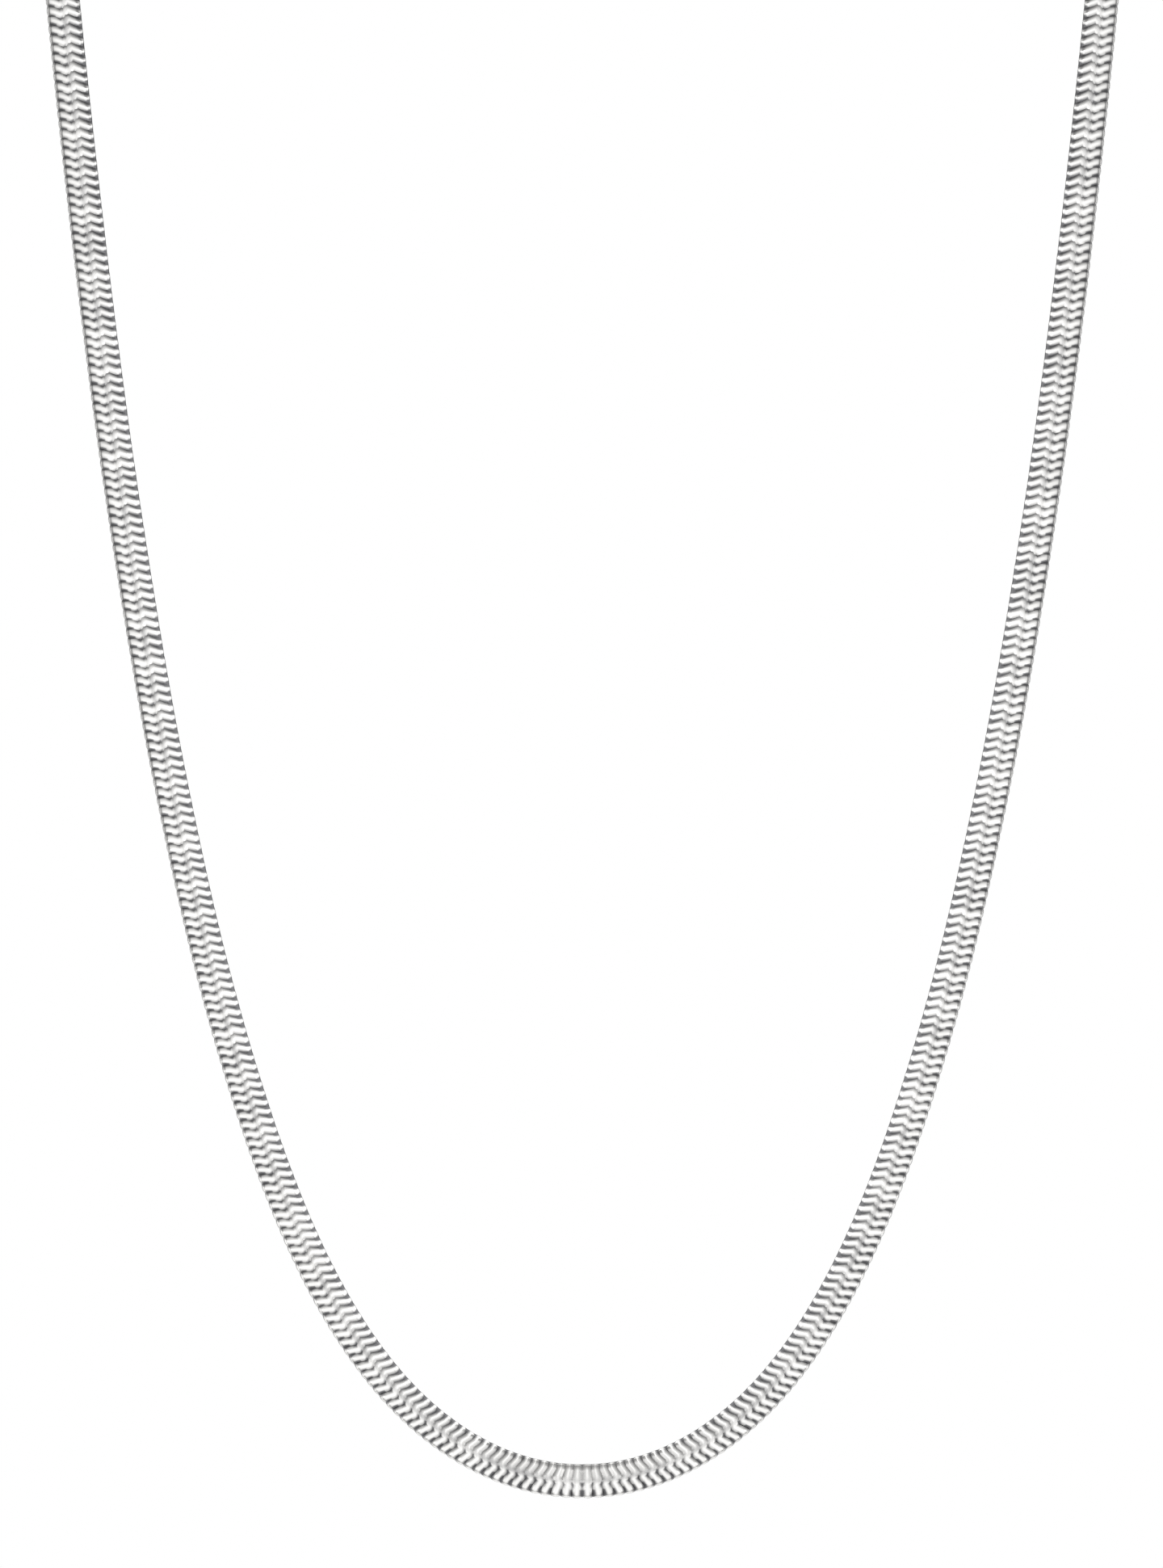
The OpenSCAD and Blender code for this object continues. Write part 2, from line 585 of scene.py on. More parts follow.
@dataclass(frozen=True)
class Paper:
    """White background paper, uncoated: bright and matt, with no grain that shows from the camera.

    Args:
        name: The material's name.
        white: Its colour.
        matt: Its roughness.
    """

    name: str = "white_paper"
    white: str = "#FEFEFE"
    matt: float = 0.9

    def build(self) -> bpy.types.Material:
        """Makes the material.

        Returns:
            The material.
        """
        material = bpy.data.materials.new(self.name)
        material.use_nodes = True
        shader = material.node_tree.nodes["Principled BSDF"]
        shader.inputs["Base Color"].default_value = hex_colour(self.white)
        shader.inputs["Roughness"].default_value = self.matt
        return material


@dataclass(frozen=True)
class LinkPlate:
    """One plate of the chain: a flat oval ring, bent to a wave with two falling teeth on each face.

    A plate's front edge tucks under the rear lip of the one below it, so the slit between them is
    closed by metal and never shows through.

    Args:
        width: Width of the oval.
        thick: Thickness of the oval.
        power: Squareness of the oval, where 2 is an ellipse.
        shoulder: How far the rims of the plate's band lie under the oval.
        lip: How far the end of the rear lip lies under it.
        neck: How far the front edge lies under it.
        tuck: How far the front edge reaches under the next lip, in pitches.
        inner_from: Where the inner half's slits start, as a share of half the width.
        stations: The wave, the slit and its painted shade round half the oval, the same on both faces.
    """

    width: float = 4.0
    thick: float = 1.3
    power: float = 3.0
    shoulder: float = 0.03
    lip: float = 0.26
    neck: float = 0.42
    tuck: float = 0.18
    inner_from: float = 0.2
    # The last two columns are painted shade, in the slit and on the face beside it.
    stations: tuple[Station, ...] = (
        Station(-1.00, -0.48, 0.72, 0.40, 0.30, 0.00),
        Station(-0.90, -0.53, 0.72, 0.70, 0.78, 0.16),
        Station(-0.77, -0.50, 0.62, 0.95, 0.95, 0.08),
        Station(-0.46, -0.26, 0.62, 0.85, 0.38, 0.14),
        Station(-0.22, -0.05, 0.74, 1.00, 0.75, 0.08),
        Station(-0.04, -0.13, 0.60, 0.50, 0.27, 0.33),
        Station(0.07, -0.42, 0.56, 0.50, 0.27, 0.34),
        Station(0.26, -0.44, 0.66, 0.95, 0.52, 0.19),
        Station(0.64, -0.08, 0.78, 1.00, 0.74, 0.11),
        Station(0.91, 0.03, 0.90, 0.45, 1.30, 0.00),
        Station(1.00, 0.01, 0.92, 0.10, 1.50, 0.00),
    )

    def _oval(self, across: float) -> tuple[Vector, Vector]:
        """Finds a place on the front half of the oval.

        Args:
            across: The share of half the width, from -1 to 1.

        Returns:
            The place, in millimetres, and the way out of the oval there.
        """
        half_w, half_t = self.width / 2, self.thick / 2
        rise = max(0.0, 1 - abs(across) ** self.power) ** (1 / self.power)
        slope_x = math.copysign(abs(across) ** (self.power - 1), across) / half_w
        slope_y = rise ** (self.power - 1) / half_t
        return Vector((across * half_w, rise * half_t, 0)), Vector((slope_x, slope_y, 0)).normalized()

    def build(self, pitch: float) -> bpy.types.Object:
        """Makes the plate, its oval in the XY plane and the strand along Z.

        Args:
            pitch: Distance from one plate to the next, in millimetres.

        Returns:
            The plate, with attributes recess, lag and inner. recess is how much painted shade lies on a
            point, lag is how far the wave moves a point along the strand, in metres, and inner is 1 in the
            slits of its inner half, or else 0.
        """
        mean_lag = sum(s.lag for s in self.stations) / len(self.stations)
        shape = bmesh.new()
        recess = shape.verts.layers.float.new("recess")
        lag = shape.verts.layers.float.new("lag")
        inner = shape.verts.layers.float.new("inner")
        front = [(1, station) for station in self.stations]
        back = [(-1, station) for station in reversed(self.stations[1:-1])]
        rings: list[list[bmesh.types.BMVert]] = []
        for face, station in front + back:
            place, outward = self._oval(station.across)
            wave = mean_lag - station.lag
            ring = []
            half = station.slit / 2
            # From the tucked front edge over the two rims of the band to the end of the rear lip.
            for z, depth, dark in (
                (-0.5 - self.tuck, self.neck, 1 + self.tuck / half),
                (-0.5 + half, self.shoulder, 0.0),
                (0.5 - half, self.shoulder, 0.0),
                (0.5, self.lip, 1.0),
            ):
                x, y, _ = place - depth * station.sink * outward
                vert = shape.verts.new(Vector((x, face * y, (z + wave) * pitch)) * MM)
                # Painted shade: full in the slit by slit_shade, and at least face_shade on the faces beside
                # it.
                vert[recess] = max(dark * station.slit_shade, station.face_shade)
                vert[lag] = wave * pitch * MM
                vert[inner] = float(station.across > self.inner_from and dark > 0)
                ring.append(vert)
            rings.append(ring)
        for ring, after in zip(rings, rings[1:] + rings[:1]):
            bridge(shape, ring, after)
            for end in (0, -1):
                shape.edges.get((ring[end], after[end])).smooth = False
        bmesh.ops.recalc_face_normals(shape, faces=shape.faces)
        return mesh_object("link_plate", shape)


@dataclass
class SnakeChain:
    """The two strands of plates, from the bottom of the front to the end caps.

    Args:
        finish: The plates' silver.
        plate: The plate that is repeated.
        route: The line that the strands follow.
        plates: Plates in each strand.
        start: Half of the gap where the strands meet at the bottom of the front.
        stop: Where a strand ends inside its cap, from the middle of the nape.
        calm: Plates at the bottom of the front over which the wave grows to its full height, because
            the two strands' waves fall towards each other there.
        play: How far a plate may sit off its place along the strand, in pitches.
        tilt: How far it may be turned off it, in degrees.
        bend: How far the tight bend at the bottom of the front reaches up each strand. Over it the
            painted shade in the slits of the inner half is made lighter.
        shut: Share of that painted shade that is left in the middle of the bend.
    """

    finish: Silver
    plate: LinkPlate = field(default_factory=LinkPlate)
    route: Route = field(default_factory=Route)
    plates: int = 262
    start: float = 0.05
    stop: float = 9.92
    calm: float = 4.0
    play: float = 0.025
    tilt: float = 1.3
    bend: float = 24.0
    shut: float = 0.38

    def build(self) -> list[bpy.types.Object]:
        """Makes both strands, each in the place of its node.

        Returns:
            The strands, the left one first.
        """
        curve = self.route.curve()
        pitch = (curve.length - self.start - self.stop) / self.plates
        plate = self.plate.build(pitch)
        sizes = {
            "Plate": plate,
            "Plates": self.plates,
            "Play": self.play * pitch * MM,
            "Tilt": math.radians(self.tilt),
            "Calm": self.calm * pitch * MM,
            "Bend": self.bend * MM,
            "Shut": self.shut,
            "Finish": self.finish.build(),
        }
        strands = []
        for seed, side in enumerate(Side, start=1):
            strand = self._route_line(f"links_{side.value}", curve, pitch)
            tree, sockets = self._thread_tree(f"thread_links_{side.value}")
            modifier = strand.modifiers.new("thread", "NODES")
            modifier.node_group = tree
            for label, value in (*sizes.items(), ("Seed", seed)):
                modifier[sockets[label]] = value
            plain_mesh(strand)
            if side is Side.LEFT:
                mirror_across(strand)
            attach(strand, BODY)
            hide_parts(f"chain_{side.value}")
            LOG.info("%s: %d plates, %.3f mm apart", strand.name, self.plates, pitch)
            strands.append(strand)
        bpy.data.objects.remove(plate)
        return strands

    def _route_line(self, name: str, curve: RouteCurve, pitch: float) -> bpy.types.Object:
        """Makes a line of edges from the first plate's place to the last one's.

        Args:
            name: The object's name.
            curve: The route.
            pitch: Distance between plates, in millimetres.

        Returns:
            The line, with attributes along, face and run on its points.
        """
        first = self.start + pitch / 2
        last = curve.length - self.stop - pitch / 2
        steps = 2 * self.plates
        samples = [(first + (last - first) * k / steps) for k in range(steps + 1)]
        frames = [curve.at(run) for run in samples]
        mesh = bpy.data.meshes.new(name)
        mesh.from_pydata([place * MM for place, _, _ in frames], [(k, k + 1) for k in range(steps)], [])
        mesh.attributes.new("run", "FLOAT", "POINT").data.foreach_set("value", [s * MM for s in samples])
        for label, part in (("along", 1), ("face", 2)):
            flat = [number for frame in frames for number in frame[part]]
            mesh.attributes.new(label, "FLOAT_VECTOR", "POINT").data.foreach_set("vector", flat)
        line = bpy.data.objects.new(name, mesh)
        bpy.context.scene.collection.objects.link(line)
        return line

    @staticmethod
    def _thread_tree(name: str) -> tuple[bpy.types.NodeTree, dict[str, str]]:
        """Builds the nodes that make a strand of a line and a plate.

        Args:
            name: The tree's name.

        Returns:
            The tree, and each input's identifier by its name.
        """
        tree = bpy.data.node_groups.new(name, "GeometryNodeTree")
        tree.interface.new_socket("Geometry", in_out="OUTPUT", socket_type="NodeSocketGeometry")
        sockets = {}
        for label, kind in (
            ("Line", "NodeSocketGeometry"),
            ("Plate", "NodeSocketObject"),
            ("Plates", "NodeSocketInt"),
            ("Play", "NodeSocketFloat"),
            ("Tilt", "NodeSocketFloat"),
            ("Calm", "NodeSocketFloat"),
            ("Bend", "NodeSocketFloat"),
            ("Shut", "NodeSocketFloat"),
            ("Seed", "NodeSocketInt"),
            ("Finish", "NodeSocketMaterial"),
        ):
            item = tree.interface.new_socket(label, in_out="INPUT", socket_type=kind)
            sockets[label] = item.identifier
        given = add_node(tree, "NodeGroupInput").outputs
        threaded = SnakeChain._thread(tree, given)
        calmed = SnakeChain._calm_waves(tree, given, threaded)
        clean = SnakeChain._lighten_inner_shade(tree, given, calmed)
        for label in ("along", "face", "run", "lag", "inner"):
            clean = add_node(tree, "GeometryNodeRemoveAttribute", {"Geometry": clean, "Name": label})
        finished = add_node(
            tree, "GeometryNodeSetMaterial", {"Geometry": clean, "Material": given["Finish"]}
        )
        add_node(tree, "NodeGroupOutput", {"Geometry": finished})
        return tree, sockets

    @staticmethod
    def _thread(tree: bpy.types.NodeTree, given: bpy.types.bpy_prop_collection) -> bpy.types.Node:
        """Adds the nodes that thread the plates on the line, each a little off its place.

        Args:
            tree: The tree that takes the nodes.
            given: The tree's inputs.

        Returns:
            The node that holds the plates as one mesh, with a tone of its own for each.
        """
        along, face = (
            add_node(tree, "GeometryNodeInputNamedAttribute", {"Name": label}, data_type="FLOAT_VECTOR")
            for label in ("along", "face")
        )
        path = add_node(tree, "GeometryNodeMeshToCurve", {"Mesh": given["Line"]})
        places = add_node(tree, "GeometryNodeResampleCurve", {"Curve": path, "Count": given["Plates"]})
        least_play = add_node(tree, "ShaderNodeMath", {0: given["Play"], 1: -1.0}, operation="MULTIPLY")
        shift = add_node(
            tree,
            "FunctionNodeRandomValue",
            {"Min": least_play, "Max": given["Play"], "Seed": given["Seed"]},
            data_type="FLOAT",
        )
        nudge = add_node(tree, "ShaderNodeVectorMath", {0: along, "Scale": shift}, operation="SCALE")
        nudged = add_node(tree, "GeometryNodeSetPosition", {"Geometry": places, "Offset": nudge})
        turn = add_node(
            tree,
            "FunctionNodeAxesToRotation",
            {"Primary Axis": along, "Secondary Axis": face},
            primary_axis="Z",
            secondary_axis="Y",
        )
        least_tilt = add_node(tree, "ShaderNodeMath", {0: given["Tilt"], 1: -1.0}, operation="MULTIPLY")
        leans: dict[str | int, object] = {}
        # Each axis draws from a seed of its own.
        for axis, seed_shift in (("X", 10.0), ("Y", 20.0)):
            seed = add_node(tree, "ShaderNodeMath", {0: given["Seed"], 1: seed_shift}, operation="ADD")
            leans[axis] = add_node(
                tree,
                "FunctionNodeRandomValue",
                {"Min": least_tilt, "Max": given["Tilt"], "Seed": seed},
                data_type="FLOAT",
            )
        wobble = add_node(tree, "ShaderNodeCombineXYZ", leans)
        wobble_turn = add_node(tree, "FunctionNodeEulerToRotation", {"Euler": wobble})
        turned = add_node(
            tree,
            "FunctionNodeRotateRotation",
            {"Rotation": turn, "Rotate By": wobble_turn},
            rotation_space="LOCAL",
        )
        plate = add_node(tree, "GeometryNodeObjectInfo", {"Object": given["Plate"]})
        threaded = add_node(
            tree,
            "GeometryNodeInstanceOnPoints",
            {"Points": nudged, "Instance": plate.outputs["Geometry"], "Rotation": turned},
        )
        tone = add_node(tree, "FunctionNodeRandomValue", {"Seed": given["Seed"]}, data_type="FLOAT")
        toned = add_node(
            tree,
            "GeometryNodeStoreNamedAttribute",
            {"Geometry": threaded, "Name": "tone", "Value": tone},
            data_type="FLOAT",
            domain="INSTANCE",
        )
        return add_node(tree, "GeometryNodeRealizeInstances", {"Geometry": toned})

    @staticmethod
    def _calm_waves(
        tree: bpy.types.NodeTree, given: bpy.types.bpy_prop_collection, strand: bpy.types.Node
    ) -> bpy.types.Node:
        """Adds the nodes that flatten the waves of the first plates, at the bottom of the front.

        Args:
            tree: The tree that takes the nodes.
            given: The tree's inputs.
            strand: The node that holds the plates.

        Returns:
            The node that holds them calmed.
        """
        run, lag = (
            add_node(tree, "GeometryNodeInputNamedAttribute", {"Name": label}, data_type="FLOAT")
            for label in ("run", "lag")
        )
        along = add_node(
            tree, "GeometryNodeInputNamedAttribute", {"Name": "along"}, data_type="FLOAT_VECTOR"
        )
        flat = add_node(
            tree,
            "ShaderNodeMapRange",
            {"Value": run, "From Max": given["Calm"], "To Min": -1.0, "To Max": 0.0},
            interpolation_type="SMOOTHSTEP",
        )
        back = add_node(tree, "ShaderNodeMath", {0: flat, 1: lag}, operation="MULTIPLY")
        undo = add_node(tree, "ShaderNodeVectorMath", {0: along, "Scale": back}, operation="SCALE")
        return add_node(tree, "GeometryNodeSetPosition", {"Geometry": strand, "Offset": undo})

    @staticmethod
    def _lighten_inner_shade(
        tree: bpy.types.NodeTree, given: bpy.types.bpy_prop_collection, strand: bpy.types.Node
    ) -> bpy.types.Node:
        """Adds the nodes that lighten the painted shade in the inner slits, over the tight bend at the
        bottom of the front.

        Args:
            tree: The tree that takes the nodes.
            given: The tree's inputs.
            strand: The node that holds the plates.

        Returns:
            The node that holds them with their final recess.
        """
        run, recess, inner = (
            add_node(tree, "GeometryNodeInputNamedAttribute", {"Name": label}, data_type="FLOAT")
            for label in ("run", "recess", "inner")
        )
        # Painted shade: the inner half's slits are painted lighter over the bend at the bottom of the
        # front.
        shown = add_node(
            tree,
            "ShaderNodeMapRange",
            {"Value": run, "From Max": given["Bend"], "To Min": given["Shut"], "To Max": 1.0},
            interpolation_type="SMOOTHSTEP",
        )
        kept = add_node(tree, "ShaderNodeMix", {"Factor": inner, "A": 1.0, "B": shown}, data_type="FLOAT")
        residue = add_node(tree, "ShaderNodeMath", {0: recess, 1: kept}, operation="MULTIPLY")
        return add_node(
            tree,
            "GeometryNodeStoreNamedAttribute",
            {"Geometry": strand, "Name": "recess", "Value": residue},
            data_type="FLOAT",
            domain="POINT",
        )


@dataclass
class Closure:
    """The fittings at the nape: a sleeve on each strand, and two wire rings that hold the clasp.

    Each piece is drawn flat, along X with its plate in the XY plane, round its CAD node's place on X,
    and is then turned to lie against the nape.

    Args:
        finish: The fittings' silver.
        lean: Angle between straight up and the way that the plates look at the nape.
        steps: Points on a half circle.
        ease_steps: Straight steps on each quarter of a softened edge.
        land: Width of the flat belt beside a softened edge, which keeps its shading off the faces.
    """

    finish: Silver
    lean: float = 55.0
    steps: int = 32
    ease_steps: int = 6
    land: float = 0.03

    def build(self) -> list[bpy.types.Object]:
        """Makes the sleeves, the rings and the clasp.

        Returns:
            The pieces.
        """
        material = self.finish.build()
        pieces = [self._dress(Clasp(self).build("clasp"), "clasp", material)]
        for side in Side:
            for maker, node in ((EndCap(self), "end_cap"), (JumpRing(self), "jump_ring")):
                piece = maker.build(f"{node}_right")
                if side is Side.LEFT:
                    mirror_across(piece)
                pieces.append(self._dress(piece, f"{node}_{side.value}", material))
        return pieces

    def _dress(
        self, piece: bpy.types.Object, node: str, material: bpy.types.Material
    ) -> bpy.types.Object:
        """Turns a flat piece to the nape, gives it its finish and sets it for its node.

        Args:
            piece: The piece, drawn flat.
            node: The node that it stands for.
            material: The finish.

        Returns:
            The same piece.
        """
        piece.data.transform(Matrix.Rotation(-math.radians(self.lean), 4, "X"))
        piece.name = f"{node}_polished"
        piece.data.materials.append(material)
        tone = piece.data.attributes.new("tone", "FLOAT", "POINT")
        tone.data.foreach_set("value", [1.0] * len(piece.data.vertices))
        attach(piece, BODY)
        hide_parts(node)
        LOG.info("%s: %d faces", piece.name, len(piece.data.polygons))
        return piece

    def rim(self, inset: float, rise: float) -> list[tuple[float, float]]:
        """Draws the section of a softened edge, from the top face to the bottom one.

        Args:
            inset: How far the rounding reaches into the face.
            rise: Half of the plate's thickness.

        Returns:
            How far each point lies in from the edge, and its height.
        """
        turns = [math.pi / 2 * (1 - k / self.ease_steps) for k in range(2 * self.ease_steps + 1)]
        round_edge = [(inset * (1 - math.cos(turn)), rise * math.sin(turn)) for turn in turns]
        return [(inset + self.land, rise), *round_edge, (inset + self.land, -rise)]

    def plate(
        self, shape: bmesh.types.BMesh, outlines: list[list[Rim]], insets: list[float], thick: float
    ) -> None:
        """Adds a plate with softened edges to a shape.

        Args:
            shape: The shape that takes it.
            outlines: The outer outline and the holes.
            insets: How far each one's rounding reaches into the faces.
            thick: The plate's thickness.
        """
        edges: tuple[list[bmesh.types.BMEdge], list[bmesh.types.BMEdge]] = ([], [])
        for outline, inset in zip(outlines, insets):
            rings = [
                [shape.verts.new(Vector((*(rim.place - deep * rim.out), high)) * MM) for rim in outline]
                for deep, high in self.rim(inset, thick / 2)
            ]
            for ring, after in zip(rings, rings[1:]):
                bridge(shape, ring, after)
            for ring, found in zip((rings[0], rings[-1]), edges):
                found += [shape.edges.get(pair) for pair in zip(ring, ring[1:] + ring[:1])]
        for found in edges:
            bmesh.ops.triangle_fill(shape, use_beauty=True, edges=found)


@dataclass
class Clasp:
    """The clasp: one plain plate, wide at the end with the large opening, with pillowed edges.

    Args:
        closure: The closure that it belongs to.
        thick: Thickness of the plate.
        eye_d: Diameter of the hole in the narrow end.
        eye_rim: Metal round that hole.
        claw_d: Diameter of the opening in the wide end.
        claw_rim: Metal round that opening.
        pillow: How far the outer edge's rounding reaches in.
        hole_ease: How far the holes' rounding reaches in.
    """

    closure: Closure
    thick: float = 1.4
    eye_d: float = 1.3
    eye_rim: float = 0.75
    claw_d: float = 2.6
    claw_rim: float = 1.2
    pillow: float = 0.44
    hole_ease: float = 0.22

    def build(self, node: str) -> bpy.types.Object:
        """Makes the clasp.

        Args:
            node: The node that gives its place and its length.

        Returns:
            The clasp, drawn flat.
        """
        low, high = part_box(node)
        eye_r, claw_r = self.eye_d / 2 + self.eye_rim, self.claw_d / 2 + self.claw_rim
        eye_at, claw_at = low[0] / MM + eye_r, high[0] / MM - claw_r
        steps = self.closure.steps
        outlines = [
            tapered_outline((eye_at, eye_r), (claw_at, claw_r), steps),
            circle_outline(eye_at, self.eye_d / 2, 2 * steps, hole=True),
            circle_outline(claw_at, self.claw_d / 2, 2 * steps, hole=True),
        ]
        shape = bmesh.new()
        self.closure.plate(shape, outlines, [self.pillow, self.hole_ease, self.hole_ease], self.thick)
        bmesh.ops.recalc_face_normals(shape, faces=shape.faces)
        return mesh_object(node, shape)


@dataclass
class JumpRing:
    """A round wire ring that stands across the plates it joins, with its closed joint.

    Args:
        closure: The closure that it belongs to.
        wire: Diameter of the wire.
        around: Sections round the ring.
        sides: Sides of the wire.
        joint_at: Angle of the joint from the clasp's side, in degrees.
        joint_depth: How deep the joint's seam is.
        joint_width: How wide it is.
        joint_haze: How much of the seam's residue is left beside it.
    """

    closure: Closure
    wire: float = 0.7
    around: int = 72
    sides: int = 16
    joint_at: float = 68.0
    joint_depth: float = 0.04
    joint_width: float = 0.05
    joint_haze: float = 0.2

    def build(self, node: str) -> bpy.types.Object:
        """Makes the ring.

        Args:
            node: The node that gives its place and its width.

        Returns:
            The ring, drawn flat, with its recess attribute.
        """
        low, high = (corner[0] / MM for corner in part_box(node))
        middle, ring_r, wire_r = (low + high) / 2, (high - low - self.wire) / 2, self.wire / 2
        joint, half = math.radians(self.joint_at), self.joint_width / 2 / ring_r
        arc = 2 * math.pi - 4 * half
        turns = [joint + 2 * half + arc * k / self.around for k in range(self.around + 1)]
        sections = [(turn, wire_r, 0.0) for turn in turns]
        sections += [
            (joint - half, wire_r, self.joint_haze),
            (joint, wire_r - self.joint_depth, 1.0),
            (joint + half, wire_r, self.joint_haze),
        ]
        shape = bmesh.new()
        recess = shape.verts.layers.float.new("recess")
        rings = []
        for turn, section_r, dark in sections:
            ring = []
            for j in range(self.sides):
                angle = 2 * math.pi * j / self.sides
                reach = ring_r + section_r * math.cos(angle)
                x, z = middle - reach * math.cos(turn), reach * math.sin(turn)
                vert = shape.verts.new(Vector((x, section_r * math.sin(angle), z)) * MM)
                vert[recess] = dark
                ring.append(vert)
            rings.append(ring)
        for ring, after in zip(rings, rings[1:] + rings[:1]):
            bridge(shape, ring, after)
        bmesh.ops.recalc_face_normals(shape, faces=shape.faces)
        return mesh_object(node, shape)


@dataclass
class EndCap:
    """A sleeve pressed round the end of a strand, closed at one end by a wall that carries an eye.

    Args:
        closure: The closure that it belongs to.
        width: Width of the sleeve outside.
        thick: Its thickness outside.
        length: Its length.
        wall: Its wall.
        end: Thickness of its closed end.
        corner: Rounding of the closed end's edge.
        lip: Rounding of the mouth.
        eye_d: Diameter of the eye's hole.
        eye_rim: Metal round it.
        eye_t: Thickness of the eye.
        eye_ease: How far the rounding of the eye's edges reaches in.
    """

    closure: Closure
    width: float = 5.0
    thick: float = 2.3
    length: float = 5.0
    wall: float = 0.4
    end: float = 1.0
    corner: float = 0.4
    lip: float = 0.15
    eye_d: float = 1.3
    eye_rim: float = 0.65
    eye_t: float = 1.0
    eye_ease: float = 0.28

    def build(self, node: str) -> bpy.types.Object:
        """Makes the sleeve and its eye as one closed mesh.

        Args:
            node: The node that gives its place and its length.

        Returns:
            The end cap, drawn flat, with its recess attribute, the painted shade inside the sleeve.
        """
        low, high = (corner[0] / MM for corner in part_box(node))
        sleeve = mesh_object(node, self._sleeve(high))
        eye_r = self.eye_d / 2 + self.eye_rim
        eye_at = low + eye_r
        steps = self.closure.steps
        outlines = [
            circle_outline(eye_at, eye_r, 2 * steps, hole=False),
            circle_outline(eye_at, self.eye_d / 2, 2 * steps, hole=True),
        ]
        shape = bmesh.new()
        shape.verts.layers.float.new("recess")
        self.closure.plate(shape, outlines, [self.eye_ease, self.eye_ease], self.eye_t)
        bmesh.ops.recalc_face_normals(shape, faces=shape.faces)
        eye = mesh_object("eye", shape)
        union = sleeve.modifiers.new("solder", "BOOLEAN")
        union.operation = "UNION"
        union.object = eye
        sleeve.modifiers.new("even_shading", "WEIGHTED_NORMAL")
        plain_mesh(sleeve)
        bpy.data.objects.remove(eye)
        return sleeve

    def _sleeve(self, mouth: float) -> bmesh.types.BMesh:
        """Lofts the sleeve along X.

        Args:
            mouth: Where the mouth is on X.

        Returns:
            The sleeve, closed, with painted shade on its inside, in the recess attribute.
        """
        shut = mouth - self.length
        half_gap, half_t = (self.width - self.thick) / 2, self.thick / 2
        outline = tapered_outline((-half_gap, half_t), (half_gap, half_t), self.closure.steps)
        steps = self.closure.ease_steps
        turns = [math.pi / 2 * k / steps for k in range(steps + 1)]
        # How far each section lies inside the outline, where it is on X, and its recess, which paints shade
        # inside the sleeve.
        closed_end = [
            (self.corner * (1 - math.sin(turn)), shut + self.corner * (1 - math.cos(turn)), 0.0)
            for turn in turns
        ]
        open_end = [
            (self.lip * (1 - math.cos(turn)), mouth - self.lip * (1 - math.sin(turn)), 0.0)
            for turn in turns
        ]
        # The inside of the sleeve, with painted shade that grows from the mouth inwards.
        inside = [
            (self.wall - self.lip / 2, mouth, 0.0),
            (self.wall, mouth - self.lip / 2, 0.5),
            (self.wall, mouth - 2 * self.lip, 1.0),
            (self.wall, shut + self.end, 1.0),
        ]
        shape = bmesh.new()
        recess = shape.verts.layers.float.new("recess")
        rings = []
        for inset, along, dark in closed_end + open_end + inside:
            ring = []
            for rim in outline:
                vert = shape.verts.new(Vector((along, *(rim.place - inset * rim.out))) * MM)
                vert[recess] = dark
                ring.append(vert)
            rings.append(ring)
        for ring, after in zip(rings, rings[1:]):
            bridge(shape, ring, after)
        shape.faces.new(rings[0])
        shape.faces.new(rings[-1])
        bmesh.ops.recalc_face_normals(shape, faces=shape.faces)
        return shape


